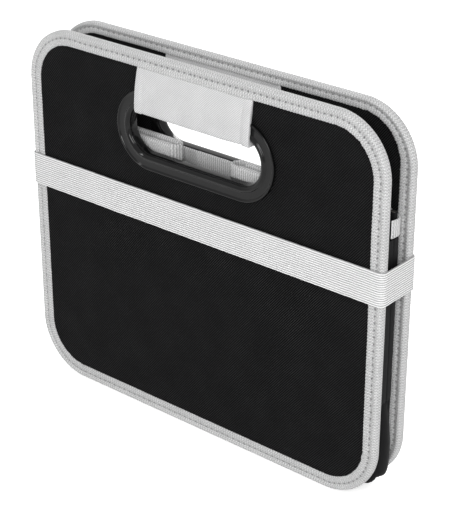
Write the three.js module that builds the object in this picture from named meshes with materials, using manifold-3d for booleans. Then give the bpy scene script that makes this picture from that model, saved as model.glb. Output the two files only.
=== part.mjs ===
// Collapsible car trunk organizer, folded flat and standing on its lower edge, held shut by an elastic band.
// Units are millimetres. X runs along the width, Y from the front panel to the rear panel, and Z is up.
// The origin is the middle of the pack's base.
import * as THREE from "three";
import { mergeVertices } from "three/addons/utils/BufferGeometryUtils.js";
import Module from "manifold-3d";

const wasm = await Module();
wasm.setup();

// Folded pack
const WIDTH = 320;
const HEIGHT = 282;
const CORNER_RADIUS = 42;
const PACK_DEPTH = 36;
const FIT_GAP = 0.3;
const LAYER_GAP = 0.1;
const CORNER_STEPS = 6;

// Front and rear panels, each a stiff board between two cloths
const BOARD_T = 2.6;
const CLOTH_T = 0.8;

// Binding tape round each panel, with a flat sewn strip and a thick rolled rim
const STRIP_REACH = 10.5;
const STRIP_T = 0.8;
const RIM_T = 7;
const RIM_REACH = 5.2;
const RIM_ROUND = 2.2;
const TAPE_BACK_T = 1.2;

// Plastic handle frame of each panel, and the ring that holds it on the inside
const HANDLE_DROP = 55;
const HOLE_HALF_LENGTH = 59;
const HOLE_HALF_HEIGHT = 18;
const SLEEVE_T = 2;
const FLANGE_REACH = 12;
const FLANGE_T = 1.8;
const LIP_WIDTH = 1.6;
const LIP_RISE = 0.6;
const BEAD_WIDTH = 5;
const BEAD_RISE = 1.5;
const RING_REACH = 9;
const RING_T = 1.2;
const SLEEVE_PROUD = 0.2;
const FRAME_STEPS = 9;

// Padded cloth wrap round the grip bar of each panel
const GRIP_WIDTH = 103;
const GRIP_HANG = 6;
const GRIP_CLOTH_T = 1.6;
const GRIP_PAD_OUT = 5.6;
const GRIP_PAD_IN = 4.6;
const GRIP_ROUND = 4;
const GRIP_TAPER = 6;

// Elastic band
const BAND_WIDTH = 25;
const BAND_CLEARANCE = 16.5;
const BAND_T = 1.2;
const BAND_STEPS = 4;

// Side walls, each folded inwards at a cloth hinge half way
const WALL_FOOT = 8;
const WALL_DROP = 66;
const WALL_CORNER = 14;
const HALF_WALL = 124;
const PIVOT_INSET = 5;
const HINGE_OFFSET = 2.6;
const HINGE_END_GAP = 0.4;
const WALL_BOARD_T = 2;
const WALL_CLOTH_T = 0.6;
const WALL_TAPE_T = 0.6;
const EDGE_TAPE_WIDTH = 12;
const LOOP_CLOTH_T = 2;
const LOOP_SETBACK = 0.5;
const LOOP_TAPE_T = 0.4;
const LOOP_STEPS = 5;
const WEB_T = 3.2;

// Soft cloth corners that bulge out at the foot of the side gaps
const CORNER_BULGE = 4.8;
const CORNER_RISE = 40;
const CORNER_ROUND = 2;

// Floor halves, stood up against the panels
const FLOOR_REACH = 132;
const FLOOR_BOARD_T = 2;
const FLOOR_CLOTH_T = 0.6;

// Inner pocket on the rear panel
const POCKET_DROP = 77;
const POCKET_T = 1;
const POCKET_TAPE_T = 0.5;

// Places that follow from the sizes above, y counted from the pack's middle
const HALF_W = WIDTH / 2;
const PANEL_MID = (PACK_DEPTH - RIM_T) / 2;
const CORE_HALF = BOARD_T / 2 + LAYER_GAP + CLOTH_T;
const SLOT_HALF = CORE_HALF + LAYER_GAP;
const STRIP_HALF = SLOT_HALF + STRIP_T;
const CORE_INSET = TAPE_BACK_T + FIT_GAP;
const LINING_Y = PANEL_MID - CORE_HALF;
const HANDLE_Z = HEIGHT - HANDLE_DROP;
const BAND_TOP = HANDLE_Z - HOLE_HALF_HEIGHT - FLANGE_REACH - BAND_CLEARANCE;
const WALL_TOP = HEIGHT - WALL_DROP;
const POCKET_TOP = HEIGHT - POCKET_DROP;
const FLOOR_T = FLOOR_BOARD_T + 2 * FLOOR_CLOTH_T + 2 * LAYER_GAP;
const SLEEVE_END_Y = PANEL_MID - SLOT_HALF - RING_T - SLEEVE_PROUD;
const POCKET_BACK_Y = SLEEVE_END_Y - FIT_GAP - POCKET_TAPE_T - LAYER_GAP;
const POCKET_FACE_Y = POCKET_BACK_Y - POCKET_T;
const REAR_FLOOR_FACE_Y = POCKET_FACE_Y - FIT_GAP - FLOOR_T;
const FRONT_FLOOR_FACE_Y = -LINING_Y + FIT_GAP + FLOOR_T;
const FOLD_Y = (REAR_FLOOR_FACE_Y + FRONT_FLOOR_FACE_Y) / 2;
const WINDOW_INSET = STRIP_REACH + FIT_GAP;
const FLOOR_TOP = WINDOW_INSET + FLOOR_REACH;
const PIVOT_X = HALF_W - PIVOT_INSET;
const WALL_T = WALL_BOARD_T + 2 * WALL_CLOTH_T + 2 * LAYER_GAP;
const TAPE_FOOT_Z = WALL_TOP - EDGE_TAPE_WIDTH;
const CLOTH_TOP_Z = WALL_TOP - WALL_TAPE_T - FIT_GAP;

const FRONT = -1;
const REAR = 1;
const LEFT = -1;
const RIGHT = 1;

const materials = {
  twill: new THREE.MeshStandardMaterial({ color: 0x1f1f21, roughness: 0.85, metalness: 0 }),
  wallCloth: new THREE.MeshStandardMaterial({ color: 0x232326, roughness: 0.8, metalness: 0 }),
  board: new THREE.MeshStandardMaterial({ color: 0x3a3a3c, roughness: 0.7, metalness: 0 }),
  tape: new THREE.MeshStandardMaterial({ color: 0xc9c9c9, roughness: 0.85, metalness: 0 }),
  gripCloth: new THREE.MeshStandardMaterial({ color: 0xdcdcdc, roughness: 0.85, metalness: 0 }),
  elastic: new THREE.MeshStandardMaterial({ color: 0xdedede, roughness: 0.8, metalness: 0 }),
  gloss: new THREE.MeshStandardMaterial({ color: 0x0c0c0d, roughness: 0.2, metalness: 0 }),
};

// Joins and cuts
function toSolid(geometry) {
  const bare = geometry.index ? geometry.toNonIndexed() : geometry.clone();
  for (const name of Object.keys(bare.attributes)) {
    if (name !== "position") bare.deleteAttribute(name);
  }
  const merged = mergeVertices(bare, 1e-4);
  const vertProperties = Float32Array.from(merged.attributes.position.array);
  const triVerts = Uint32Array.from(merged.index.array);
  return new wasm.Manifold(new wasm.Mesh({ numProp: 3, vertProperties, triVerts }));
}

function toGeometry(solid) {
  const mesh = solid.getMesh();
  const geometry = new THREE.BufferGeometry();
  geometry.setAttribute("position", new THREE.BufferAttribute(Float32Array.from(mesh.vertProperties), 3));
  geometry.setIndex(Array.from(mesh.triVerts));
  geometry.computeVertexNormals();
  return geometry;
}

function cut(body, ...tools) {
  return toGeometry(tools.reduce((rest, tool) => rest.subtract(toSolid(tool)), toSolid(body)));
}

// Basic shapes
function box(x0, x1, y0, y1, z0, z1) {
  const geometry = new THREE.BoxGeometry(Math.abs(x1 - x0), Math.abs(y1 - y0), Math.abs(z1 - z0));
  geometry.translate((x0 + x1) / 2, (y0 + y1) / 2, (z0 + z1) / 2);
  return geometry;
}

function extrude(shape, depth, steps, round = 0) {
  return new THREE.ExtrudeGeometry(shape, {
    depth: depth - 2 * round,
    curveSegments: steps,
    bevelEnabled: round > 0,
    bevelThickness: round,
    bevelSize: round,
    bevelOffset: -round,
    bevelSegments: 2,
  }).translate(0, 0, round);
}

// A plate with an X and Z outline between two depths
function slab(shape, y0, y1, steps, round = 0) {
  return extrude(shape, Math.abs(y1 - y0), steps, round).rotateX(Math.PI / 2).translate(0, Math.max(y0, y1), 0);
}

// A plate of a panel, its two depths counted outwards from the panel's middle plane
function panelPlate(shape, side, inner, outer, steps, round = 0) {
  return slab(shape, side * (PANEL_MID + inner), side * (PANEL_MID + outer), steps, round);
}

// An upright wall with an X and Y outline
function uprightWall(shape, z0, z1, steps, round = 0) {
  return extrude(shape, z1 - z0, steps, round).translate(0, 0, z0);
}

// Outlines
function panelOutline(inset, Kind = THREE.Shape) {
  const x = HALF_W - inset;
  const high = HEIGHT - inset;
  const r = CORNER_RADIUS - inset;
  const outline = new Kind();
  outline.absarc(x - r, inset + r, r, -Math.PI / 2, 0, false);
  outline.absarc(x - r, high - r, r, 0, Math.PI / 2, false);
  outline.absarc(-x + r, high - r, r, Math.PI / 2, Math.PI, false);
  outline.absarc(-x + r, inset + r, r, Math.PI, 1.5 * Math.PI, false);
  return outline;
}

function handleOutline(grow, Kind = THREE.Shape) {
  const r = HOLE_HALF_HEIGHT + grow;
  const x = HOLE_HALF_LENGTH - HOLE_HALF_HEIGHT;
  const outline = new Kind();
  outline.absarc(x, HANDLE_Z, r, -Math.PI / 2, Math.PI / 2, false);
  outline.absarc(-x, HANDLE_Z, r, Math.PI / 2, 1.5 * Math.PI, false);
  return outline;
}

function ring(outline, outer, inner) {
  const shape = outline(outer);
  shape.holes.push(outline(inner, THREE.Path));
  return shape;
}

function panelWithHole(inset, holeGrow) {
  const shape = panelOutline(inset);
  shape.holes.push(handleOutline(holeGrow, THREE.Path));
  return shape;
}

// Panel layers, counted outwards: lining, board and cover
function panelLayer(side, inner, thickness) {
  const shape = panelWithHole(CORE_INSET, SLEEVE_T + FIT_GAP);
  return panelPlate(shape, side, inner, inner + thickness, CORNER_STEPS);
}

function panelBinding(side) {
  const rim = panelPlate(ring(panelOutline, 0, RIM_REACH), side, -RIM_T / 2, RIM_T / 2, CORNER_STEPS, RIM_ROUND);
  const strips = ring(panelOutline, RIM_REACH / 2, STRIP_REACH);
  const strip = panelPlate(strips, side, -STRIP_HALF, STRIP_HALF, CORNER_STEPS);
  const slot = panelPlate(panelOutline(TAPE_BACK_T), side, -SLOT_HALF, SLOT_HALF, CORNER_STEPS);
  return toGeometry(toSolid(rim).add(toSolid(strip)).subtract(toSolid(slot)));
}

// The handle frame has a flange with a thin outer lip, a rounded bead, and the sleeve that lines the hole
function handleFrame(side) {
  const seat = SLOT_HALF;
  const face = seat + FLANGE_T;
  const part = (outer, inner, from, to, round = 0) =>
    toSolid(panelPlate(ring(handleOutline, outer, inner), side, from, to, FRAME_STEPS, round));
  const flange = part(FLANGE_REACH, 0, seat, face);
  const lip = part(FLANGE_REACH, FLANGE_REACH - LIP_WIDTH, seat, face + LIP_RISE);
  const bead = part(BEAD_WIDTH, 0, seat, face + BEAD_RISE, BEAD_RISE);
  const sleeve = part(SLEEVE_T, 0, -seat - RING_T - SLEEVE_PROUD, face);
  return toGeometry(flange.add(lip).add(bead).add(sleeve));
}

function handleRing(side) {
  const shape = ring(handleOutline, RING_REACH, SLEEVE_T + FIT_GAP);
  return panelPlate(shape, side, -SLOT_HALF - RING_T, -SLOT_HALF, FRAME_STEPS);
}

// The wrap's section runs from the top binding down the outside, through the hole and up the inside
function gripSection(side) {
  const y = (depth) => side * (PANEL_MID + depth);
  const top = HEIGHT - STRIP_REACH - FIT_GAP;
  const foot = HANDLE_Z + HOLE_HALF_HEIGHT - GRIP_HANG;
  const shoulder = HANDLE_Z + HOLE_HALF_HEIGHT + FLANGE_REACH;
  const thin = SLOT_HALF + GRIP_CLOTH_T;
  const outer = CORE_HALF + GRIP_PAD_OUT;
  const inner = -CORE_HALF - GRIP_PAD_IN;
  const section = new THREE.Shape();
  section.moveTo(y(thin), top);
  section.lineTo(y(thin + FLANGE_T), shoulder + GRIP_TAPER / 2);
  section.lineTo(y(outer), shoulder - GRIP_TAPER / 2);
  section.lineTo(y(outer), foot + GRIP_ROUND);
  section.quadraticCurveTo(y(outer), foot, y(outer - GRIP_ROUND), foot);
  section.lineTo(y(inner + GRIP_ROUND), foot);
  section.quadraticCurveTo(y(inner), foot, y(inner), foot + GRIP_ROUND);
  section.lineTo(y(inner), shoulder - GRIP_TAPER / 2);
  section.lineTo(y(-thin - FLANGE_T / 2), shoulder + GRIP_TAPER / 2);
  section.lineTo(y(-thin), top);
  return section;
}

function gripWrap(side) {
  const bar = panelWithHole(TAPE_BACK_T, -FIT_GAP);
  const frame = ring(handleOutline, FLANGE_REACH + FIT_GAP, -FIT_GAP);
  const frameTop = SLOT_HALF + FLANGE_T + BEAD_RISE + FIT_GAP;
  const frameBack = -SLOT_HALF - RING_T - SLEEVE_PROUD - FIT_GAP;
  const body = extrude(gripSection(side), GRIP_WIDTH, 4)
    .rotateX(Math.PI / 2)
    .rotateZ(Math.PI / 2)
    .translate(-GRIP_WIDTH / 2, 0, 0);
  return cut(
    body,
    panelPlate(bar, side, -SLOT_HALF, SLOT_HALF, FRAME_STEPS),
    panelPlate(frame, side, frameBack, frameTop, FRAME_STEPS),
  );
}

// A cloth pouch round a stiff board, open along its upper edge. The outline takes an inset and a height.
function pouch(outline, top, y0, y1, cloth) {
  const skin = Math.sign(y1 - y0) * cloth;
  const inside = slab(outline(cloth, top + 1), y0 + skin, y1 - skin, CORNER_STEPS);
  return cut(slab(outline(0, top), y0, y1, CORNER_STEPS), inside);
}

function boardInPouch(outline, top, y0, y1, cloth) {
  const skin = Math.sign(y1 - y0) * (cloth + LAYER_GAP);
  return slab(outline(cloth + FIT_GAP, top - FIT_GAP), y0 + skin, y1 - skin, CORNER_STEPS);
}

// Side wall halves, with a rounded lower corner at the pack's side
function wallSpan(side, half) {
  const y0 = FOLD_Y + half * HINGE_OFFSET;
  const y1 = FOLD_Y + half * (HINGE_OFFSET + WALL_T);
  const outline = (inset, top) => {
    const end = side * (PIVOT_X - HALF_WALL + HINGE_END_GAP + inset);
    const r = WALL_CORNER - inset;
    const x = side * (PIVOT_X - WALL_CORNER);
    const shape = new THREE.Shape();
    shape.moveTo(end, top);
    shape.lineTo(end, WALL_FOOT + inset);
    if (side === RIGHT) shape.absarc(x, WALL_FOOT + WALL_CORNER, r, -Math.PI / 2, 0, false);
    else shape.absarc(x, WALL_FOOT + WALL_CORNER, r, -Math.PI / 2, -Math.PI, true);
    shape.lineTo(side * (PIVOT_X - inset), top);
    return shape;
  };
  return [outline, CLOTH_TOP_Z, y0, y1, WALL_CLOTH_T];
}

function wallTape(side, half) {
  const x0 = side * PIVOT_X;
  const x1 = side * (PIVOT_X - HALF_WALL + HINGE_END_GAP);
  const near = FOLD_Y + half * (HINGE_OFFSET - LAYER_GAP);
  const far = FOLD_Y + half * (HINGE_OFFSET + WALL_T + LAYER_GAP);
  const over = half * WALL_TAPE_T;
  const slot = box(x0 + side, x1 - side, near, far, TAPE_FOOT_Z - 1, CLOTH_TOP_Z + FIT_GAP);
  return cut(box(x0, x1, near - over, far + over, TAPE_FOOT_Z, WALL_TOP), slot);
}

// Half rings round the fold's hinge line, on its side towards the pack's middle
function foldOutline(side, inner, outer) {
  const x = side * (PIVOT_X - HALF_WALL);
  const start = side === LEFT ? -Math.PI / 2 : Math.PI / 2;
  const outline = new THREE.Shape();
  outline.absarc(x, FOLD_Y, outer, start, start + Math.PI, false);
  outline.absarc(x, FOLD_Y, inner, start + Math.PI, start, true);
  return outline;
}

function foldCloth(side) {
  const inner = HINGE_OFFSET + LOOP_SETBACK;
  return uprightWall(foldOutline(side, inner, inner + LOOP_CLOTH_T), WALL_FOOT, CLOTH_TOP_Z, LOOP_STEPS);
}

function foldTape(side) {
  const inner = HINGE_OFFSET + LOOP_SETBACK;
  const outer = inner + LOOP_CLOTH_T;
  const reach = FIT_GAP + LOOP_TAPE_T;
  const whole = foldOutline(side, inner - reach, outer + reach);
  const slot = foldOutline(side, inner - FIT_GAP, outer + FIT_GAP);
  const slotTop = CLOTH_TOP_Z + FIT_GAP;
  return cut(
    uprightWall(whole, TAPE_FOOT_Z, WALL_TOP, LOOP_STEPS),
    uprightWall(slot, TAPE_FOOT_Z - 1, slotTop, LOOP_STEPS),
  );
}

// Cloth webs that carry each wall half at the panel's binding, above the panel's rounded corner
function wallWeb(side, half) {
  const x0 = side * PIVOT_X;
  const x1 = side * (PIVOT_X - WEB_T);
  const near = FOLD_Y + half * (HINGE_OFFSET + WALL_T + FIT_GAP);
  const far = half * (PANEL_MID - STRIP_HALF - FIT_GAP);
  return box(x0, x1, near, far, CORNER_RADIUS, TAPE_FOOT_Z - FIT_GAP);
}

function softCorner(side) {
  const reach = HINGE_OFFSET + WALL_T;
  const foot = WALL_FOOT + WALL_CORNER;
  const top = foot + CORNER_RISE;
  const outline = new THREE.Shape();
  outline.absellipse(side * PIVOT_X, FOLD_Y, CORNER_BULGE, reach, 0, 2 * Math.PI, false);
  const inward = side * (PIVOT_X - CORNER_BULGE - 1);
  const inside = box(inward, side * (PIVOT_X + FIT_GAP), FOLD_Y - reach - 1, FOLD_Y + reach + 1, 0, top + 1);
  return cut(uprightWall(outline, foot, top, LOOP_STEPS, CORNER_ROUND), inside);
}

// Floor halves and pocket lie inside the binding's window, and follow its lower corners
function windowOutline(inset, top) {
  const x = HALF_W - WINDOW_INSET - inset;
  const low = WINDOW_INSET + inset;
  const r = CORNER_RADIUS - low;
  const shape = new THREE.Shape();
  shape.moveTo(-x, top);
  shape.absarc(-x + r, low + r, r, Math.PI, 1.5 * Math.PI, false);
  shape.absarc(x - r, low + r, r, -Math.PI / 2, 0, false);
  shape.lineTo(x, top);
  return shape;
}

function floorSpan(half) {
  const face = half === REAR ? REAR_FLOOR_FACE_Y : FRONT_FLOOR_FACE_Y;
  return [windowOutline, FLOOR_TOP, face, face + half * FLOOR_T, FLOOR_CLOTH_T];
}

function rearPocket() {
  const top = POCKET_TOP - POCKET_TAPE_T - FIT_GAP;
  return slab(windowOutline(0, top), POCKET_FACE_Y, POCKET_BACK_Y, CORNER_STEPS);
}

function pocketTape() {
  const x = HALF_W - WINDOW_INSET;
  const reach = LAYER_GAP + POCKET_TAPE_T;
  const foot = POCKET_TOP - EDGE_TAPE_WIDTH;
  const whole = box(-x, x, POCKET_FACE_Y - reach, POCKET_BACK_Y + reach, foot, POCKET_TOP);
  const front = POCKET_FACE_Y - LAYER_GAP;
  const back = POCKET_BACK_Y + LAYER_GAP;
  return cut(whole, box(-x - 1, x + 1, front, back, foot - 1, POCKET_TOP - POCKET_TAPE_T));
}

// The band runs round both panels' rims
function bandOutline(grow, Kind = THREE.Shape) {
  const x = HALF_W + FIT_GAP + grow;
  const y = PACK_DEPTH / 2 + FIT_GAP + grow;
  const r = RIM_ROUND + FIT_GAP + grow;
  const outline = new Kind();
  outline.absarc(x - r, -y + r, r, -Math.PI / 2, 0, false);
  outline.absarc(x - r, y - r, r, 0, Math.PI / 2, false);
  outline.absarc(-x + r, y - r, r, Math.PI / 2, Math.PI, false);
  outline.absarc(-x + r, -y + r, r, Math.PI, 1.5 * Math.PI, false);
  return outline;
}

function elasticBand() {
  return uprightWall(ring(bandOutline, BAND_T, 0), BAND_TOP - BAND_WIDTH, BAND_TOP, BAND_STEPS);
}

// Scene graph
const organizer = new THREE.Group();

function place(group, name, geometry, material) {
  const mesh = new THREE.Mesh(geometry, material.clone());
  mesh.name = name;
  group.add(mesh);
}

function panelGroup(name, half) {
  const group = new THREE.Group();
  place(group, `${name}_board`, panelLayer(half, -BOARD_T / 2, BOARD_T), materials.board);
  place(group, `${name}_cover`, panelLayer(half, CORE_HALF - CLOTH_T, CLOTH_T), materials.twill);
  place(group, `${name}_lining`, panelLayer(half, -CORE_HALF, CLOTH_T), materials.twill);
  place(group, `${name}_binding`, panelBinding(half), materials.tape);
  place(group, `${name}_handle_frame`, handleFrame(half), materials.gloss);
  place(group, `${name}_handle_ring`, handleRing(half), materials.gloss);
  place(group, `${name}_grip_wrap`, gripWrap(half), materials.gripCloth);
  place(group, `${name}_floor_cloth`, pouch(...floorSpan(half)), materials.wallCloth);
  place(group, `${name}_floor_board`, boardInPouch(...floorSpan(half)), materials.board);
  for (const [sideName, side] of [["left", LEFT], ["right", RIGHT]]) {
    place(group, `${sideName}_${name}_web`, wallWeb(side, half), materials.wallCloth);
  }
  return group;
}

function sideWallGroup(sideName, side) {
  const group = new THREE.Group();
  for (const [name, half] of [["rear", REAR], ["front", FRONT]]) {
    const span = wallSpan(side, half);
    place(group, `${sideName}_wall_${name}_cloth`, pouch(...span), materials.wallCloth);
    place(group, `${sideName}_wall_${name}_board`, boardInPouch(...span), materials.board);
    place(group, `${sideName}_wall_${name}_tape`, wallTape(side, half), materials.tape);
  }
  place(group, `${sideName}_fold_cloth`, foldCloth(side), materials.wallCloth);
  place(group, `${sideName}_fold_tape`, foldTape(side), materials.tape);
  place(group, `${sideName}_soft_corner`, softCorner(side), materials.wallCloth);
  return group;
}

organizer.add(panelGroup("front", FRONT));
organizer.add(panelGroup("rear", REAR));
organizer.add(sideWallGroup("left", LEFT));
organizer.add(sideWallGroup("right", RIGHT));
place(organizer, "rear_pocket", rearPocket(), materials.wallCloth);
place(organizer, "rear_pocket_tape", pocketTape(), materials.tape);
place(organizer, "elastic_band", elasticBand(), materials.elastic);

export default organizer;
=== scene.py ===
# Collapsible car trunk organizer, folded flat: cloth, tape, plastic, lights and camera round the fixed frame.
import math
import bpy
import bmesh
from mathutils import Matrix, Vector
from mathutils.geometry import delaunay_2d_cdt
from mathutils.noise import noise


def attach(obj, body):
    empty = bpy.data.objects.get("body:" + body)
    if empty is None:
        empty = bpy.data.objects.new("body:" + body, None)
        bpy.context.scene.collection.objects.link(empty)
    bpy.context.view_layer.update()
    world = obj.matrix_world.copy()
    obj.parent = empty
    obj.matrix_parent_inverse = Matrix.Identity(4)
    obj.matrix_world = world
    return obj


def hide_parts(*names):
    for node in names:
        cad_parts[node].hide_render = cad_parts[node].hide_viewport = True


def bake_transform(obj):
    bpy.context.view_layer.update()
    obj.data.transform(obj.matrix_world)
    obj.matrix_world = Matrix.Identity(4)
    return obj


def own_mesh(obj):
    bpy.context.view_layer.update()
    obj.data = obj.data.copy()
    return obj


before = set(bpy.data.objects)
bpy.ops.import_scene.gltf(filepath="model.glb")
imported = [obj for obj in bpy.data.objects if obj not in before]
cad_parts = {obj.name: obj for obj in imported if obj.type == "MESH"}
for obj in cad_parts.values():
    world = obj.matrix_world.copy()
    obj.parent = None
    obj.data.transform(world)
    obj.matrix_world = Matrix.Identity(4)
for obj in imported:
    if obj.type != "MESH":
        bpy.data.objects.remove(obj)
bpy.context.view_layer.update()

scene = bpy.context.scene
scene.view_settings.view_transform = "Standard"

FRONT, REAR = -1, 1
LEFT, RIGHT = -1, 1
SIDE_NAME = {FRONT: "front", REAR: "rear"}
HAND_NAME = {LEFT: "left", RIGHT: "right"}

# Sizes of the frame, in millimetres, with y counted from the pack's middle
MM = 0.001
HALF_W = 160
HEIGHT = 282
CORNER = 42
PANEL_MID = 14.5
CORE = 2.2
STRIP = 10.5
WINDOW = STRIP + 0.3
HANDLE_Z = 227
HOLE_X = 59
HOLE_Z = 18
BAND_Z = (155.5, 180.5)
BAND_RIBS = 15
BAND_PITCH = (BAND_Z[1] - BAND_Z[0]) / BAND_RIBS
FLOOR_TOP = WINDOW + 132
FLOOR_FACES = {FRONT: (-12.0, -8.6), REAR: (5.2, 8.6)}
POCKET_TOP = 209
POCKET_FACES = (8.85, 9.75)
POCKET_TAPE_X = 150.4
POCKET_TAPE_FACES = (8.4, 10.4)

# Side walls: faces and loose edges counted from the fold's line, and the places of their ends
PIVOT_X = 155
HALF_WALL = 124
FOLD_Y = -1.7
WALL_FACES = (2.6, 6.0)
WALL_END = PIVOT_X - HALF_WALL + 0.4
WALL_FOOT = 8
WALL_TOP = 216
WALL_CORNER = 14
WALL_TAPE_OUT = 0.55
WALL_TAPE_END = PIVOT_X - 5.5
TAB_FOOT = 198.5
WEB_TOP = 203.7
WEB_FACES = {REAR: (4.6, 11.1), FRONT: (-8.0, -11.1)}
GUSSET_Z = (76, 197.5)
BULGE_Z = (16.5, 76.5)

# Each fold's reach past the end of its wall halves: pressed to a wedge on the left, open on the right
FOLD_REACH = {LEFT: 5.0, RIGHT: 8.6}
FOLD_ARM = 4.3

# Grip wrap: half its width, its hem, and the height where the outer strip covers it
GRIP_X = 51.5
GRIP_HEM = 6.0
GRIP_SEAM = 272.4

# Camera, fitted to the photograph's edges
PHOTO_SIZE = (460, 524)
SENSOR = 36.0
FOCAL_PIXELS = 1615
CAMERA_AZIMUTH = math.radians(40.16)
CAMERA_ELEVATION = math.radians(26.17)
CAMERA_PLACE = Vector((0.679, -0.784, 0.641))

# Studio: the surround's strength as light, the floor's glow to the camera, and the point the lamps face
WORLD_LIGHT = 0.6
FLOOR_GLOW = 0.58
LAMP_TARGET = Vector((0, 0, 0.14))


def put(name, data):
    """A new object with this data, in the scene."""
    made = bpy.data.objects.new(name, data)
    scene.collection.objects.link(made)
    return made


def make_camera():
    data = bpy.data.cameras.new("camera")
    data.sensor_fit = "AUTO"
    data.sensor_width = SENSOR
    data.lens = FOCAL_PIXELS * SENSOR / max(PHOTO_SIZE)
    camera = put("camera", data)
    back = Vector((
        math.sin(CAMERA_AZIMUTH) * math.cos(CAMERA_ELEVATION),
        -math.cos(CAMERA_AZIMUTH) * math.cos(CAMERA_ELEVATION),
        math.sin(CAMERA_ELEVATION),
    ))
    camera.location = CAMERA_PLACE
    camera.rotation_mode = "QUATERNION"
    camera.rotation_quaternion = (-back).to_track_quat("-Z", "Y")
    scene.camera = camera


# Sums on numbers and points

def unit(value):
    """The value, kept between 0 and 1."""
    return max(0.0, min(1.0, value))


def ripple(x, y, z):
    """Smooth noise, about -1 to 1, always the same for the same place."""
    return noise(Vector((x, y, z)))


def lengths(points):
    """Distance run along a line of points, starting at 0."""
    run = [0.0]
    for a, b in zip(points, points[1:]):
        run.append(run[-1] + math.dist(a, b))
    return run


def heading(points, k):
    """The way a line of points runs at point k, from the point before it to the point after."""
    before, after = points[max(k - 1, 0)], points[min(k + 1, len(points) - 1)]
    return after[0] - before[0], after[1] - before[1]


# Node graphs, written as sums of terms

class Term:
    """One output of a material's nodes, with arithmetic."""

    def __init__(self, graph, socket):
        self.graph = graph
        self.socket = socket

    def op(self, kind, *others):
        return self.graph.math(kind, self, *others)

    def __add__(self, other):
        return self.op("ADD", other)

    def __sub__(self, other):
        return self.op("SUBTRACT", other)

    def __mul__(self, other):
        return self.op("MULTIPLY", other)

    def __truediv__(self, other):
        return self.op("DIVIDE", other)

    def wave(self, period):
        """0 to 1 and back over each period."""
        return (self * (2 * math.pi / period)).op("SINE") * 0.5 + 0.5

    def cell(self, period):
        """Whole number of periods passed."""
        return (self / period).op("FLOOR")


class Graph:
    """A Principled material with a surface position in millimetres."""

    def __init__(self, name, roughness, sheen=0.0, specular=0.5):
        self.material = bpy.data.materials.new(name)
        self.material.use_nodes = True
        self.tree = self.material.node_tree
        self.shader = self.tree.nodes["Principled BSDF"]
        self.shader.inputs["Roughness"].default_value = roughness
        self.shader.inputs["Sheen Weight"].default_value = sheen
        self.shader.inputs["Sheen Roughness"].default_value = 0.5
        self.shader.inputs["Specular IOR Level"].default_value = specular

    def node(self, kind, **values):
        made = self.tree.nodes.new(kind)
        for key, value in values.items():
            setattr(made, key, value)
        return made

    def connect(self, value, socket):
        if isinstance(value, Term):
            self.tree.links.new(value.socket, socket)
        else:
            socket.default_value = value

    def math(self, kind, *values):
        made = self.node("ShaderNodeMath", operation=kind)
        for value, socket in zip(values, made.inputs):
            self.connect(value, socket)
        return Term(self, made.outputs[0])

    def ramp(self, value, low, high):
        """0 at low to 1 at high, smooth at both ends."""
        made = self.node("ShaderNodeMapRange", interpolation_type="SMOOTHSTEP", clamp=True)
        self.connect(value, made.inputs["Value"])
        made.inputs["From Min"].default_value = low
        made.inputs["From Max"].default_value = high
        return Term(self, made.outputs["Result"])

    def millimetres(self, output):
        """Takes the position from an output of the texture coordinates, for place and noise."""
        coords = self.node("ShaderNodeTexCoord")
        scale = self.node("ShaderNodeVectorMath", operation="SCALE")
        scale.inputs["Scale"].default_value = 1000.0
        self.tree.links.new(coords.outputs[output], scale.inputs[0])
        self.vector = Term(self, scale.outputs[0])

    def place(self):
        """The laid-out surface position, along and across."""
        self.millimetres("UV")
        split = self.node("ShaderNodeSeparateXYZ")
        self.connect(self.vector, split.inputs[0])
        return Term(self, split.outputs[0]), Term(self, split.outputs[1])

    def noise(self, size, detail=2.0, rough=0.5):
        """Smooth noise, 0 to 1, with features of that size in millimetres."""
        made = self.node("ShaderNodeTexNoise", noise_dimensions="3D")
        self.connect(self.vector, made.inputs["Vector"])
        made.inputs["Scale"].default_value = 1.0 / size
        made.inputs["Detail"].default_value = detail
        made.inputs["Roughness"].default_value = rough
        return Term(self, made.outputs["Fac"])

    def colour(self, share, dark, light):
        made = self.node("ShaderNodeMix", data_type="RGBA")
        self.connect(share, made.inputs[0])
        made.inputs[6].default_value = (*dark, 1)
        made.inputs[7].default_value = (*light, 1)
        self.tree.links.new(made.outputs[2], self.shader.inputs["Base Color"])

    def roughness(self, value):
        self.connect(value, self.shader.inputs["Roughness"])

    def bump(self, height, depth, strength):
        """height runs from 0 to 1 over depth millimetres."""
        made = self.node("ShaderNodeBump")
        made.inputs["Strength"].default_value = strength
        made.inputs["Distance"].default_value = depth * MM
        self.connect(height, made.inputs["Height"])
        self.tree.links.new(made.outputs[0], self.shader.inputs["Normal"])


def twill_material():
    """Black polyester twill: diagonal rows of short floats that catch the light."""
    g = Graph("black_twill", roughness=0.6, specular=0.02)
    u, v = g.place()
    wander = g.noise(11.0) * 0.5
    across = u * 1.2 - v + wander
    line = g.ramp(across.wave(2.1), 0.4, 0.97)
    floats = g.ramp((u + v + across.cell(2.1) * 0.9).wave(2.3), 0.1, 0.9)
    speck = g.ramp(g.noise(1.7), 0.52, 0.68)
    worn = g.ramp(g.noise(26.0, 4.0, 0.6), 0.3, 0.75)
    thread = line * (floats * 0.4 + 0.45) * (worn * 0.3 + 0.7) + speck * 0.12
    g.colour(thread, (0.0003, 0.0003, 0.0004), (0.044, 0.044, 0.045))
    g.roughness(thread * -0.25 + 0.68)
    g.bump(thread, 0.2, 0.9)
    return g.material


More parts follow.
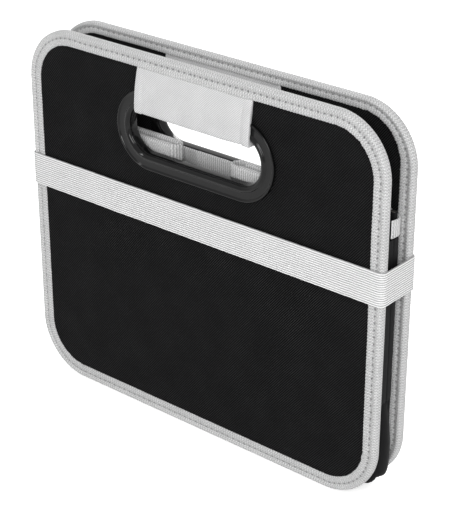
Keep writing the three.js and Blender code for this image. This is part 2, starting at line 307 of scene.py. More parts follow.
def wall_material():
    """Smooth black woven nylon, for the walls, floor halves and webs."""
    g = Graph("black_nylon", roughness=0.6, specular=0.1)
    u, v = g.place()
    weave = u.wave(0.9) * v.wave(0.9)
    soft = g.noise(22.0, 3.0)
    g.colour(weave * 0.45 + soft * 0.5, (0.0014, 0.0014, 0.0015), (0.012, 0.012, 0.0125))
    g.roughness(soft * 0.16 + 0.55)
    g.bump(weave * 0.35 + soft, 0.35, 0.6)
    return g.material


def tape_material(name, rib, rib_share, rows=()):
    """Light grey woven tape: cross ribs over a fine crossed grain, and sunk lines of stitches along rows,
    darkened with painted shade.
    """
    g = Graph(name, roughness=0.8, sheen=0.1, specular=0.25)
    u, v = g.place()
    drift = g.noise(7.0) * 1.2
    grain = g.ramp((u + v + drift).wave(2.1) * (u - v + drift).wave(2.1), 0.05, 0.5)
    ribs = g.ramp((u + drift * 0.4 + v.wave(3.1) * 0.3).wave(rib), 0.15, 0.85)
    fine = g.ramp(g.noise(1.0), 0.3, 0.7)
    dirt = g.noise(16.0, 3.0)
    height = grain * (0.58 - rib_share) + ribs * rib_share + fine * 0.3
    shade = height * 0.7 + dirt * 0.16 + 0.2
    for row in rows:
        place = g.noise(11.0) * 0.9 - 0.45 + row
        beat = (u + g.noise(14.0) * 1.2).wave(STITCH_PITCH)
        groove_dent_and_shade = g.ramp((v - place).op("ABSOLUTE"), 1.1, 0.2)
        hole_dent_and_shadow = groove_dent_and_shade * g.ramp(beat, 0.66, 0.95)
        # Painted shade darkens the colour along the sunk stitch line, and painted shadow darkens it at each
        # needle hole; the same masks also sink the bump.
        shade = shade * (groove_dent_and_shade * -0.2 - hole_dent_and_shadow * 0.6 + 1.0)
        height = height - hole_dent_and_shadow * 0.6 - groove_dent_and_shade * 0.35
    g.colour(shade, (0.10, 0.101, 0.103), (0.84, 0.84, 0.84))
    g.bump(height, 0.28, 0.85)
    return g.material


def elastic_material():
    """Pale grey elastic: fine cords along its length, with a braided grain and painted shade in the valleys
    between them.
    """
    g = Graph("ribbed_elastic", roughness=0.72, sheen=0.08, specular=0.3)
    u, v = g.place()
    # Painted shade: the colour is darkest in the valleys between the cords, in step with the band's ribs, and
    # the same wave shapes the bump.
    cords_and_valley_shade = g.ramp((v + g.noise(12.0) * 0.25).wave(BAND_PITCH), 0.02, 0.55)
    braid = (u + v.wave(BAND_PITCH * 2) * 0.8).wave(1.7)
    fine = g.noise(0.9)
    soft = g.noise(24.0)
    shade = cords_and_valley_shade * 0.68 + braid * 0.03 + fine * 0.2 + soft * 0.12
    g.colour(shade, (0.26, 0.26, 0.265), (0.92, 0.92, 0.92))
    g.bump(cords_and_valley_shade * 0.9 + braid * 0.2 + fine * 0.3, 0.22, 0.8)
    return g.material


def grip_material():
    """Pale grey fine twill over padding."""
    g = Graph("grip_twill", roughness=0.78, sheen=0.12, specular=0.25)
    u, v = g.place()
    drift = g.noise(10.0) * 0.5
    line = g.ramp((u + v + drift).wave(1.7), 0.1, 0.8)
    floats = (u - v + drift).wave(1.7)
    soft = g.noise(18.0, 3.0)
    thread = line * (floats * 0.45 + 0.55)
    g.colour(thread * 0.62 + soft * 0.3 + 0.1, (0.34, 0.34, 0.35), (0.80, 0.80, 0.80))
    g.bump(thread * 0.5 + soft * 0.9, 0.28, 0.7)
    return g.material


def plastic_material():
    """Moulded black plastic, glossy, with fine handling marks."""
    g = Graph("moulded_plastic", roughness=0.1, specular=0.22)
    g.millimetres("Object")
    grain = g.noise(0.8)
    marks = g.noise(14.0, 4.0, 0.6)
    g.colour(marks * 0.7 + grain * 0.3, (0.0012, 0.0012, 0.0013), (0.0075, 0.0075, 0.0078))
    g.roughness(marks * 0.1 + 0.05)
    g.bump(grain * 0.3 + marks * 0.7, 0.06, 0.3)
    return g.material


def board_material():
    """Grey fibre board inside the cloth."""
    g = Graph("fibre_board", roughness=0.9, specular=0.2)
    g.millimetres("Object")
    fibre = g.noise(1.2, 4.0, 0.65)
    cloud = g.noise(40.0)
    g.colour(fibre * 0.6 + cloud * 0.4, (0.16, 0.14, 0.12), (0.33, 0.30, 0.27))
    g.bump(fibre, 0.2, 0.6)
    return g.material


# Half of the tape's section, as (outward, depth from the panel's middle), from inner edge to rim's crest
TAPE_HALF = [
    (-10.5, 2.25), (-10.55, 2.75), (-10.1, 3.0), (-9.2, 3.1), (-8.2, 3.12), (-7.2, 3.1), (-6.3, 3.02),
    (-5.6, 2.82), (-5.0, 2.58), (-4.5, 2.55), (-4.0, 2.8), (-3.5, 3.12), (-2.9, 3.38), (-2.2, 3.5),
    (-1.6, 3.4), (-1.05, 3.1), (-0.55, 2.6), (-0.2, 1.9), (-0.05, 1.0), (0.0, 0.0),
]
TAPE_SECTION = TAPE_HALF + [(a, -d) for a, d in reversed(TAPE_HALF[:-1])]
TAPE_WIDTH = lengths(TAPE_SECTION)[-1]
STITCH_ROW = 5.9
STITCH_PITCH = 5.2
INNER_TAKE_UP = 0.2  # the inner strip is sewn this share narrower along the top

# Sections of the handle's frame and ring, as (outward from the hole, depth from the panel's middle)
FRAME_SECTION = [
    (2.0, 2.3), (2.0, -3.5), (1.7, -3.7), (0.5, -3.7), (0.1, -3.45), (0.0, -2.8), (0.0, -1.0), (0.0, 0.6),
    (0.12, 2.0), (0.45, 3.2), (1.0, 4.25), (1.7, 5.0), (2.4, 5.42), (3.0, 5.6), (3.6, 5.56), (4.15, 5.25),
    (4.6, 4.75), (4.9, 4.3), (5.2, 4.12), (5.8, 4.08), (7.5, 4.08), (9.4, 4.08), (9.9, 4.12), (10.2, 4.35),
    (10.5, 4.75), (10.85, 4.95), (11.35, 4.95), (11.75, 4.7), (11.97, 4.2), (12.0, 3.4), (12.0, 2.5),
    (11.8, 2.32), (7.0, 2.3),
]
RING_SECTION = [
    (2.35, -2.32), (2.35, -3.3), (2.6, -3.48), (5.0, -3.5), (8.2, -3.5), (8.7, -3.4), (8.98, -3.1),
    (9.0, -2.5), (8.8, -2.32),
]

# The grip wrap's section, as (depth, height), down its outer face, under the bar and up its inner face
GRIP_SECTION = [
    (2.9, 272.4), (3.4, 271.0), (3.9, 269.0), (4.5, 266.5), (5.15, 263.5), (5.8, 260.3), (6.35, 257.0),
    (6.8, 253.5), (7.15, 250.0), (7.4, 246.8), (7.5, 244.0), (7.5, 242.0), (7.35, 240.6), (6.9, 239.6),
    (6.0, 239.1), (4.6, 239.0), (2.6, 239.0), (0.0, 239.0), (-2.6, 239.0), (-4.0, 239.1), (-5.2, 239.7),
    (-6.1, 240.9), (-6.5, 242.6), (-6.6, 245.0), (-6.5, 248.5), (-6.3, 252.0), (-5.9, 256.0), (-5.3, 260.0),
    (-4.7, 264.0), (-4.0, 268.0), (-3.4, 271.0), (-3.1, 273.2), (-2.9, 275.2),
]

# How the wrap's ends turn in, as (distance from the end, depth sunk)
GRIP_ENDS = [(0.9, 3.6), (0.35, 2.2), (0.1, 1.2), (0.15, 0.5), (0.5, 0.12)]

TWILL = twill_material()
NYLON = wall_material()
RIM_TAPE = tape_material("binding_tape", 2.2, 0.24, rows=(STITCH_ROW, TAPE_WIDTH - STITCH_ROW))
WALL_TAPE = tape_material("edge_tape", 1.9, 0.5)
ELASTIC = elastic_material()
GRIP = grip_material()
PLASTIC = plastic_material()
BOARD = board_material()


def paint_frame():
    """Gives the boards, the only solids that stay, their material."""
    for name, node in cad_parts.items():
        if name.endswith("_board"):
            node.data.materials.clear()
            node.data.materials.append(BOARD)


# Meshes from rows of points, in millimetres

def finish_piece(name, mesh, look, slot, body, nodes):
    """Puts a mesh in the scene as one piece of the object."""
    work = bmesh.new()
    work.from_mesh(mesh)
    bmesh.ops.recalc_face_normals(work, faces=work.faces)
    work.to_mesh(mesh)
    work.free()
    mesh.polygons.foreach_set("use_smooth", [True] * len(mesh.polygons))
    mesh.materials.append(look)
    piece = put(name, mesh)
    if nodes:
        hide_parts(*nodes)
    if body:
        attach(piece, body)
    return piece


def grid_mesh(name, rows, us, vs, round_u=False, round_v=False):
    """A mesh of quads over rows of points. us and vs give the laid-out position of each row and column."""
    high, wide = len(rows), len(rows[0])
    verts = [Vector(p) * MM for row in rows for p in row]
    faces, uvs = [], []
    for i in range(high if round_u else high - 1):
        for j in range(wide if round_v else wide - 1):
            i1, j1 = (i + 1) % high, (j + 1) % wide
            faces.append((i * wide + j, i1 * wide + j, i1 * wide + j1, i * wide + j1))
            u0, u1, v0, v1 = us[i], us[i + 1], vs[j], vs[j + 1]
            uvs += [(u0, v0), (u1, v0), (u1, v1), (u0, v1)]
    mesh = bpy.data.meshes.new(name)
    mesh.from_pydata(verts, [], faces)
    layer = mesh.uv_layers.new(name="laid_out")
    for loop, (u, v) in zip(layer.data, uvs):
        loop.uv = (u * MM, v * MM)
    return mesh


def rounded_path(half_x, half_z, radius, step, mid_z=0.0):
    """Points round a rounded rectangle as (x, z, nx, nz, run, bend), from the middle of its top on, and the
    length of the way round. bend is 1 in the corners and 0 on the sides."""
    straight_x, straight_z = half_x - radius, half_z - radius
    arc = radius * math.pi / 2
    total = 4 * (straight_x + straight_z + arc)
    count = int(total / step)
    legs = [
        ("line", straight_x), ("arc", arc), ("line", 2 * straight_z), ("arc", arc), ("line", 2 * straight_x),
        ("arc", arc), ("line", 2 * straight_z), ("arc", arc), ("line", straight_x),
    ]
    to_middle = (0.0, straight_z, straight_x, straight_z, straight_x)
    face = (half_z, half_x, half_z, half_x, half_z)
    points = []
    for k in range(count):
        run = total * k / count
        left, turn = run, 0
        for kind, size in legs:
            if left <= size or turn == 4:
                break
            left -= size
            turn += kind == "arc"
        angle = math.pi / 2 - turn * math.pi / 2
        if kind == "arc":
            angle -= left / radius
            cx = straight_x * (1 if turn in (0, 1) else -1)
            cz = straight_z * (1 if turn in (0, 3) else -1)
            x, z = cx + radius * math.cos(angle), cz + radius * math.sin(angle)
        else:
            nx, nz = math.cos(angle), math.sin(angle)
            ahead = left - to_middle[turn]
            x, z = nx * face[turn] + nz * ahead, nz * face[turn] - nx * ahead
        bend = 1.0 if kind == "arc" else 0.0
        points.append((x, z + mid_z, math.cos(angle), math.sin(angle), run, bend))
    return points, total


def sweep(name, path, total, section, place, adjust=None, closed_section=True, across=None):
    """Carries a section of (outward, depth) points round a closed path."""
    rows, us = [], []
    for x, z, nx, nz, run, bend in path:
        row = []
        for k, (a, d) in enumerate(section):
            if adjust:
                a, d = adjust(x, z, run, bend, k, a, d)
            row.append(place(x + nx * a, z + nz * a, d))
        rows.append(row)
        us.append(run)
    us.append(total)
    line = section + [section[0]] if closed_section else section
    return grid_mesh(name, rows, us, across or lengths(line), round_u=True, round_v=closed_section)


def inside(polygon, x, z):
    """True where the point is in the polygon."""
    found = False
    j = len(polygon) - 1
    for i, (xi, zi) in enumerate(polygon):
        xj, zj = polygon[j]
        if (zi > z) != (zj > z) and x < (xj - xi) * (z - zi) / (zj - zi) + xi:
            found = not found
        j = i
    return found


def plate_mesh(name, outline, insets, hole, step, depth):
    """A closed plate over a flat outline. outline(inset) and hole(grow) give polygons. depth(x, z, inset)
    gives the two depths at a point, where inset is its distance from the edge, up to the last of insets."""
    loops = [(inset, outline(inset)) for inset in insets]
    if hole:
        loops += [(inset, hole(inset)) for inset in insets]
    points, edges, known = [], [], {}
    for inset, loop in loops:
        first = len(points)
        for k, (x, z) in enumerate(loop):
            points.append(Vector((x, z)))
            known[(round(x, 3), round(z, 3))] = inset
            edges.append((first + k, first + (k + 1) % len(loop)))

    # A staggered grid of points inside the loops
    core = outline(insets[-1] + step * 0.5)
    gap = hole(insets[-1] + step * 0.5) if hole else None
    xs, zs = [p[0] for p in core], [p[1] for p in core]
    columns = max(1, int((max(xs) - min(xs)) / step))
    lines = max(1, int((max(zs) - min(zs)) / step))
    for i in range(columns + 1):
        for j in range(lines + 1):
            x = min(xs) + (max(xs) - min(xs)) * (i + 0.5 * (j % 2) * (i < columns)) / columns
            z = min(zs) + (max(zs) - min(zs)) * j / lines
            if inside(core, x, z) and not (gap and inside(gap, x, z)):
                points.append(Vector((x, z)))

    # Triangles between the outline and the hole
    flat, _, triangles, *_ = delaunay_2d_cdt(points, edges, [], 0, 1e-4)
    rim, void = outline(insets[0] - 0.01), hole(insets[0] - 0.01) if hole else None
    kept = []
    for triangle in triangles:
        cx = sum(flat[k].x for k in triangle) / 3
        cz = sum(flat[k].y for k in triangle) / 3
        if inside(rim, cx, cz) and not (void and inside(void, cx, cz)):
            kept.append(tuple(triangle))

    # Both faces, joined along their open edges
    verts = []
    for layer in (0, 1):
        for p in flat:
            inset = known.get((round(p.x, 3), round(p.y, 3)), insets[-1])
            verts.append(Vector((p.x, depth(p.x, p.y, inset)[layer], p.y)) * MM)
    count = len(flat)
    used, faces = {}, []
    for a, b, c in kept:
        faces += [(a, b, c), (c + count, b + count, a + count)]
        for edge in ((a, b), (b, c), (c, a)):
            used[edge] = True
    for a, b in used:
        if (b, a) not in used:
            faces.append((b, a, a + count, b + count))
    mesh = bpy.data.meshes.new(name)
    mesh.from_pydata(verts, [], faces)
    layer = mesh.uv_layers.new(name="laid_out")
    for loop, data in zip(mesh.loops, layer.data):
        co = mesh.vertices[loop.vertex_index].co
        data.uv = (co.x, co.z)
    return mesh


def arc_points(cx, cz, radius, start, end, steps):
    """Points along an arc, both ends with it."""
    angles = [start + (end - start) * k / steps for k in range(steps + 1)]
    return [(cx + radius * math.cos(angle), cz + radius * math.sin(angle)) for angle in angles]


def lay_out(corners, step):
    """The corners' polygon with points added so that its sides are about step long."""
    dense = []
    for (x0, z0), (x1, z1) in zip(corners, corners[1:] + corners[:1]):
        parts = max(1, round(math.dist((x0, z0), (x1, z1)) / step))
        dense += [(x0 + (x1 - x0) * k / parts, z0 + (z1 - z0) * k / parts) for k in range(parts)]
    return dense


def panel_outline(inset):
    x, high, r = HALF_W - inset, HEIGHT - inset, CORNER - inset
    half_pi = math.pi / 2
    line = arc_points(x - r, inset + r, r, -half_pi, 0, 10)
    line += arc_points(x - r, high - r, r, 0, half_pi, 10)
    line += arc_points(-x + r, high - r, r, half_pi, math.pi, 10)
    line += arc_points(-x + r, inset + r, r, math.pi, 3 * half_pi, 10)
    return lay_out(line, 7.0)


def hole_outline(grow):
    r = HOLE_Z + grow
    reach = HOLE_X - HOLE_Z
    line = arc_points(reach, HANDLE_Z, r, -math.pi / 2, math.pi / 2, 14)
    line += arc_points(-reach, HANDLE_Z, r, math.pi / 2, 1.5 * math.pi, 14)
    return lay_out(line, 7.0)


def window_outline(top):
    """Outline of a piece that lies between a panel's strips, up to a straight top."""
    def outline(inset):
        x, low = HALF_W - WINDOW - inset, WINDOW + inset
        r = CORNER - low
        line = [(-x, top - inset)] + arc_points(-x + r, low + r, r, math.pi, 1.5 * math.pi, 8)
        line += arc_points(x - r, low + r, r, -math.pi / 2, 0, 8) + [(x, top - inset)]
        return lay_out(line, 6.0)
    return outline


def wall_outline(hand):
    """Outline of a side wall's half, with its lower outer corner round."""
    def outline(inset):
        end, out = hand * (WALL_END + inset), hand * (PIVOT_X - inset)
        top = WALL_TOP - 0.9 - inset
        cx, cz = hand * (PIVOT_X - WALL_CORNER), WALL_FOOT + WALL_CORNER
        last = 0 if hand == RIGHT else -math.pi
        turn = arc_points(cx, cz, WALL_CORNER - inset, -math.pi / 2, last, 6)
        return lay_out([(end, top), (end, WALL_FOOT + inset)] + turn + [(out, top)], 8.0)
    return outline


# Panels

def on_panel(side):
    """A function that takes a point and its depth from the panel's middle to its place in the pack."""
    return lambda x, z, d: (x, side * (PANEL_MID + d), z)


def panel_cloth(side):
    """Cover outside and lining inside, each a stretched sheet that undulates slightly over its board."""
    for kind, sign in (("cover", side), ("lining", -side)):
        def depth(x, z, inset):
            soft = 0.22 * ripple(x / 60, z / 60, 3.0 * sign + side)
            pucker = 0.10 * ripple(x / 7, z / 7, 9.0 * sign + side)
            out = min(CORE + soft + pucker, CORE + 0.12)
            return side * PANEL_MID + sign * out, side * PANEL_MID + sign * (CORE - 0.75)

        name = f"{SIDE_NAME[side]}_{kind}_cloth"
        mesh = plate_mesh(name, panel_outline, [1.7], lambda grow: hole_outline(grow + 2.5), 7.0, depth)
        piece = finish_piece(name, mesh, TWILL, "twill", SIDE_NAME[side], [f"{SIDE_NAME[side]}_{kind}"])


def panel_binding(side):
    """Tape folded over the panel's edge: a flat strip, a sunk stitch line and a rolled rim."""
    half = len(TAPE_HALF)
    last = len(TAPE_SECTION) - 1

    def adjust(x, z, run, bend, k, a, d):
        face = 1 if k < half else -1
        strip = max(0.0, 1 - abs((k if k < half else last - k) - 2) / 4)
        if face < 0:
            a *= 1 - INNER_TAKE_UP * unit((z - HEIGHT + CORNER) / CORNER)
        wander = ripple(run / 5.5, 4.0 * face, side * 7)
        slow = ripple(run / 26, 2.0 * face, side * 3)
        tight = 0.25 + 0.75 * bend
        teeth = 0.32 * math.sin(run * 2 * math.pi / 2.6 + 3 * slow)
        a += strip * (0.75 * wander * tight + 0.35 * slow + teeth)
        gather = bend * 0.16 * math.sin(run * 2 * math.pi / 3.9 + 2 * wander)
        if abs(d) > 1.5:
            d += face * (0.10 * wander + gather) * (0.4 + 0.6 * strip)
        if strip > 0 and z > HEIGHT / 2:
            over_grip = unit((54 - abs(x)) / 5)
            d += face * 0.85 * over_grip * unit(-a / 4 - 0.2) * strip ** 0.3
        return a + 0.12 * slow * (abs(d) < 2), d

    path, total = rounded_path(HALF_W, HEIGHT / 2, CORNER, 0.88, HEIGHT / 2)
    name = f"{SIDE_NAME[side]}_binding_tape"
    mesh = sweep(name, path, total, TAPE_SECTION, on_panel(side), adjust, closed_section=False)
    finish_piece(name, mesh, RIM_TAPE, "tape", SIDE_NAME[side], [f"{SIDE_NAME[side]}_binding"])


def handle_parts(side):
    """The moulded frame in the hand hole and its ring on the inner face."""
    path, total = rounded_path(HOLE_X, HOLE_Z, HOLE_Z, 1.6, HANDLE_Z)
    for kind, section in (("frame", FRAME_SECTION), ("ring", RING_SECTION)):
        name = f"{SIDE_NAME[side]}_handle_{kind}_moulding"
        node = f"{SIDE_NAME[side]}_handle_{kind}"
        mesh = sweep(name, path, total, section, on_panel(side))
        finish_piece(name, mesh, PLASTIC, "gloss_black", SIDE_NAME[side], [node])


def grip_rise(x, d, z, run, side):
    """How far the cloth stands out over its padding: hems at both ends, their stitches, and creases."""
    from_end = GRIP_X - abs(x)
    hem = 0.5 * unit((GRIP_HEM - from_end) / 0.8 + 0.5)
    groove = -0.35 * math.exp(-((from_end - GRIP_HEM - 0.6) / 0.8) ** 2)
    beat = 0.5 + 0.5 * math.cos(run * 2 * math.pi / 3.0)
    stitch = -0.3 * math.exp(-((from_end - GRIP_HEM + 1.4) / 0.6) ** 2) * beat
    swell = 0.5 * math.cos(x / GRIP_X * 1.45)
    crease = 0.28 * ripple(x / 15, z / 11, d / 9 + 5 * side)
    return hem + groove + stitch + swell - 0.3 + crease * min(1.0, from_end / 8)


def grip_wrap(side):
    """Padded cloth round the grip bar, hemmed at both ends."""
    runs = lengths(GRIP_SECTION)
    steps = 70
    xs = [(-GRIP_X + d, sink) for d, sink in GRIP_ENDS]
    xs += [(-GRIP_X + 1.1 + (2 * GRIP_X - 2.2) * k / steps, 0.0) for k in range(steps + 1)]
    xs += [(GRIP_X - d, sink) for d, sink in reversed(GRIP_ENDS)]
    rows = []
    for x, sink in xs:
        row = []
        for k, (d, z) in enumerate(GRIP_SECTION):
            td, tz = heading(GRIP_SECTION, k)
            size = math.hypot(td, tz)
            nd, nz = -tz / size, td / size
            loose = 0.3 + 0.7 * unit((GRIP_SEAM - z) / 5.0)
            rise = grip_rise(x, d, z, runs[k], side) * loose - sink
            row.append((x, side * (PANEL_MID + d + nd * rise), z + nz * rise))
        rows.append(row)
    name = f"{SIDE_NAME[side]}_grip_pad"
    mesh = grid_mesh(name, rows, lengths(xs), runs)
    piece = finish_piece(name, mesh, GRIP, "grip_cloth", SIDE_NAME[side], [f"{SIDE_NAME[side]}_grip_wrap"])


def elastic_band():
    """The ribbed band round both panels."""
    low, high = BAND_Z
    levels = BAND_RIBS * 6
    section = [(0.1, low + 0.15)]
    for k in range(levels + 1):
        z = low + (high - low) * k / levels
        rib = abs(math.sin(math.pi * (z - low) / BAND_PITCH)) ** 0.6
        edge = min(1.0, (z - low) / 0.5 + 0.25, (high - z) / 0.5 + 0.25)
        section.append(((0.72 + 0.42 * rib) * edge, z))
    section.append((0.1, high - 0.15))

    def adjust(x, y, run, bend, k, a, z):
        sag = 0.28 * ripple(run / 45, 1.0, 0.0)
        edge_wave = 0.12 * ripple(run / 6, z / 20, 4.0)
        return a + 0.05 * ripple(run / 9, z / 3, 8.0), z + sag + edge_wave

    path, total = rounded_path(HALF_W + 0.3, PANEL_MID + 3.8, 3.4, 1.3)
    # The laid-out position across is shifted so that the elastic's painted shade falls in the valleys between
    # the ribs.
    across = [z - low - BAND_PITCH * 0.25 for a, z in section] + [0.0]
    name = "elastic_band_ribbed"
    mesh = sweep(name, path, total, section, lambda x, y, z: (x, y, z), adjust, across=across)
    piece = finish_piece(name, mesh, ELASTIC, "elastic", "rear", ["elastic_band"])
    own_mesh(piece)


# Floor halves, pocket and walls

def pouch(name, outline, faces, body, node, swell):
    """Two cloth faces over a board, sewn round the edge."""
    low, high = sorted(faces)
    mid, half, seam = (low + high) / 2, (high - low) / 2, 2.4

    def depth(x, z, inset):
        full = max(half * math.sqrt(unit(1 - (1 - min(inset, seam) / seam) ** 2)), 0.25)
        soft = swell * ripple(x / 34, z / 34, mid) * (inset >= seam)
        return mid - full + 0.5 * soft - 0.1, mid + full + 0.5 * soft + 0.1

    mesh = plate_mesh(name, outline, [0.0, 0.5, 1.3, seam], None, 9.0, depth)
    finish_piece(name, mesh, NYLON, "wall_cloth", body, [node])


def floor_halves():
    for side, faces in FLOOR_FACES.items():
        body = SIDE_NAME[side]
        pouch(f"{body}_floor_pouch", window_outline(FLOOR_TOP), faces, body, f"{body}_floor_cloth", 0.25)


def rear_pocket():
    """A flat cloth pocket on the rear panel's inner face, taped along its top."""
    def depth(x, z, inset):
        soft = 0.125 * ripple(x / 40, z / 40, 6.0) * min(1.0, (POCKET_TOP - z) / 20)
        return POCKET_FACES[0] + soft, POCKET_FACES[1] + soft

    name = "rear_pocket_cloth"
    mesh = plate_mesh(name, window_outline(POCKET_TOP - 0.8), [0.0], None, 8.0, depth)
    piece = finish_piece(name, mesh, NYLON, "wall_cloth", "rear", ["rear_pocket"])
    ends = (-POCKET_TAPE_X, POCKET_TAPE_X)
    edge_tape("rear_pocket_edge_tape", ends, POCKET_TAPE_FACES, POCKET_TOP, "rear", "rear_pocket_tape")


def tape_line(near, far, top):
    """Section of a tape folded over an upper edge, as (y, z), from one foot over the top to the other."""
    mid, half, foot = (near + far) / 2, (far - near) / 2, top - 12.0
    line = [(near + 0.12, foot), (near - 0.02, foot + 0.8)]
    line += [(near, foot + 2.6), (near - 0.05, top - 6.0), (near, top - 2.2)]
    for k in range(1, 8):
        angle = math.pi - math.pi * k / 8
        line.append((mid + half * math.cos(angle), top - 1.3 + 1.3 * math.sin(angle)))
    line += [(far, top - 2.2), (far + 0.05, top - 6.0), (far, foot + 2.6)]
    line += [(far + 0.02, foot + 0.8), (far - 0.12, foot)]
    return line


def edge_tape(name, ends, faces, top, body, node):
    """A straight woven tape folded over an upper edge."""
    (x0, x1), near = ends, faces[0]
    line = tape_line(*faces, top)
    steps = max(2, int(abs(x1 - x0) / 2.2))
    rows, us = [], []
    for k in range(steps + 1):
        x = x0 + (x1 - x0) * k / steps
        lift = 0.22 * ripple(x / 14, top / 3, near) * (0 < k < steps)
        rows.append([
            (x, y + 0.12 * ripple(x / 6, z / 5, near), z + lift + 0.15 * ripple(x / 4, y, 2.0))
            for y, z in line
        ])
        us.append(abs(x - x0))
    mesh = grid_mesh(name, rows, us, lengths(line))
    finish_piece(name, mesh, WALL_TAPE, "tape", body, [node])


def side_walls():
    """Both halves of each side wall with their edge tapes."""
    for hand in (LEFT, RIGHT):
        ends = (hand * WALL_TAPE_END, hand * WALL_END)
        for side in (FRONT, REAR):
            y0, y1 = sorted(FOLD_Y + side * out for out in WALL_FACES)
            body = f"{HAND_NAME[hand]}_{SIDE_NAME[side]}_wall"
            stem = f"{HAND_NAME[hand]}_wall_{SIDE_NAME[side]}"
            pouch(f"{stem}_pouch", wall_outline(hand), (y0, y1), body, f"{stem}_cloth", 0.15)
            faces = (y0 - WALL_TAPE_OUT, y1 + WALL_TAPE_OUT)
            edge_tape(f"{stem}_edge_tape", ends, faces, WALL_TOP, body, f"{stem}_tape")


def end_tabs():
    """The tape ends that run over the walls' outer corners to the rear panel."""
    plan = [
        (150.2, 7.8), (152.4, 7.2), (154.4, 6.0), (155.9, 4.2), (156.5, 2.0), (156.5, -0.6), (156.2, -3.0),
        (155.6, -4.4),
    ]
    section = [(-0.6, 0.6), (-0.7, 1.6), (-0.7, 6.5), (-0.7, 11.4), (-0.6, 12.4), (0.0, 13.0)]
    section += [(0.6, 12.4), (0.7, 11.4), (0.7, 6.5), (0.7, 1.6), (0.6, 0.6), (0.0, 0.0)]
    for hand in (LEFT, RIGHT):
        rows = []
        for k, (x, y) in enumerate(plan):
            tx, ty = heading(plan, k)
            size = math.hypot(tx, ty)
            thin = 0.35 if k in (0, len(plan) - 1) else 1.0
            foot = TAB_FOOT + 0.4 * ripple(k / 2, hand, 5.0)
            rows.append([
                (hand * (x - ty / size * a * thin), y + tx / size * a * thin, foot + z)
                for a, z in section
            ])
        name = f"{HAND_NAME[hand]}_tape_end"
        mesh = grid_mesh(name, rows, lengths(plan), lengths(section + section[:1]), round_v=True)
        finish_piece(name, mesh, WALL_TAPE, "tape", "rear", [])


def fold_line(hand, turns=22):
    """Points through a fold as (x, y, thickness share), from its rear half round the tip to its front half."""
    reach = FOLD_REACH[hand] + 0.4
    points = []
    for k in range(turns + 1):
        angle = math.pi / 2 - math.pi * k / turns
        out = math.sin(math.pi * k / turns)
        if hand == RIGHT:
            x = WALL_END - reach * max(math.cos(angle), 0.0) ** 0.85
            arm = FOLD_ARM + 1.5 * out * abs(math.cos(2 * angle + 0.6) - 0.2)
            y = FOLD_Y + arm * math.sin(angle)
            thick = 1.0 - 0.66 * out ** 0.35
        else:
            x = WALL_END - reach * max(math.cos(angle), 0.0)
            y = FOLD_Y + FOLD_ARM * math.copysign(abs(math.sin(angle)) ** 1.7, math.sin(angle))
            thick = 1.0 - 0.66 * out ** 0.5
        points.append((hand * x, y, thick))
    return points


def fold_loops():
    """Cloth and tape that turn through the fold between a side wall's halves."""
    cloth = [(-0.8, z) for z in range(WALL_FOOT, 215, 9)] + [(0.8, z) for z in range(213, WALL_FOOT - 1, -9)]
    tape = tape_line(-2.25, 2.25, WALL_TOP)
    for hand in (LEFT, RIGHT):
        line = fold_line(hand)
        last = len(line) - 1
        for kind, section, look, slot in (
            ("fold_cloth", cloth, NYLON, "wall_cloth"),
            ("fold_tape", tape, WALL_TAPE, "tape"),
        ):
            rows = []
            for k, (x, y, thick) in enumerate(line):
                tx, ty = heading(line, k)
                if k in (0, last):
                    tx, ty = (-hand if k == 0 else hand), 0.0
                size = math.hypot(tx, ty)
                nx, ny = -ty / size * hand, tx / size * hand
                out = math.sin(math.pi * k / last)
                sag = 0.5 * out * ripple(k / 3, hand, 1.0)
                slack = 0.4 * out * (hand == RIGHT)
                row = []
                for a, z in section:
                    wide = 1 + slack * unit((z - 165) / 38)
                    row.append((x - nx * a * thick, FOLD_Y + (y - FOLD_Y) * wide - ny * a * thick, z + sag))
                rows.append(row)
            name = f"{HAND_NAME[hand]}_{kind}_soft"
            mesh = grid_mesh(name, rows, lengths([point[:2] for point in line]), lengths(section))
            piece = finish_piece(name, mesh, look, slot, None, [f"{HAND_NAME[hand]}_{kind}"])
            x_fold = hand * (PIVOT_X - HALF_WALL)
            start, end = ((x_fold * MM, (FOLD_Y + shift) * MM, 0.1) for shift in (3.8, -3.8))
            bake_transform(piece)
            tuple(start)
            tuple(end)


def webs():
    """Cloth webs that join the walls to the panels, soft at their outer face."""
    around, steps = 14, 44
    for hand in (LEFT, RIGHT):
        for side, (near, far) in WEB_FACES.items():
            rows, us = [], []
            for k in range(steps + 1):
                z = CORNER + (WEB_TOP - CORNER) * k / steps
                row = []
                for t in range(around):
                    angle = 2 * math.pi * t / around
                    c, s = math.cos(angle), math.sin(angle)
                    share = 0.5 + 0.5 * math.copysign(abs(s) ** 0.6, s)
                    x = 153.7 - 3.4 * share + (1.2 - 0.4 * share) * math.copysign(abs(c) ** 0.6, c)
                    x += 0.35 * ripple(z / 12, t / 2, hand + side)
                    row.append((hand * x, near + (far - near) * share, z))
                rows.append(row)
                us.append(z)
            foot, head = ([(hand * 153.4, (near + far) / 2, z)] * around for z in (CORNER, WEB_TOP))
            vs = [t * 0.9 for t in range(around + 1)]
            stem = f"{HAND_NAME[hand]}_{SIDE_NAME[side]}_web"
            mesh = grid_mesh(f"{stem}_cloth", [foot, *rows, head], [CORNER, *us, WEB_TOP], vs, round_v=True)
            finish_piece(f"{stem}_cloth", mesh, NYLON, "wall_cloth", SIDE_NAME[side], [stem])


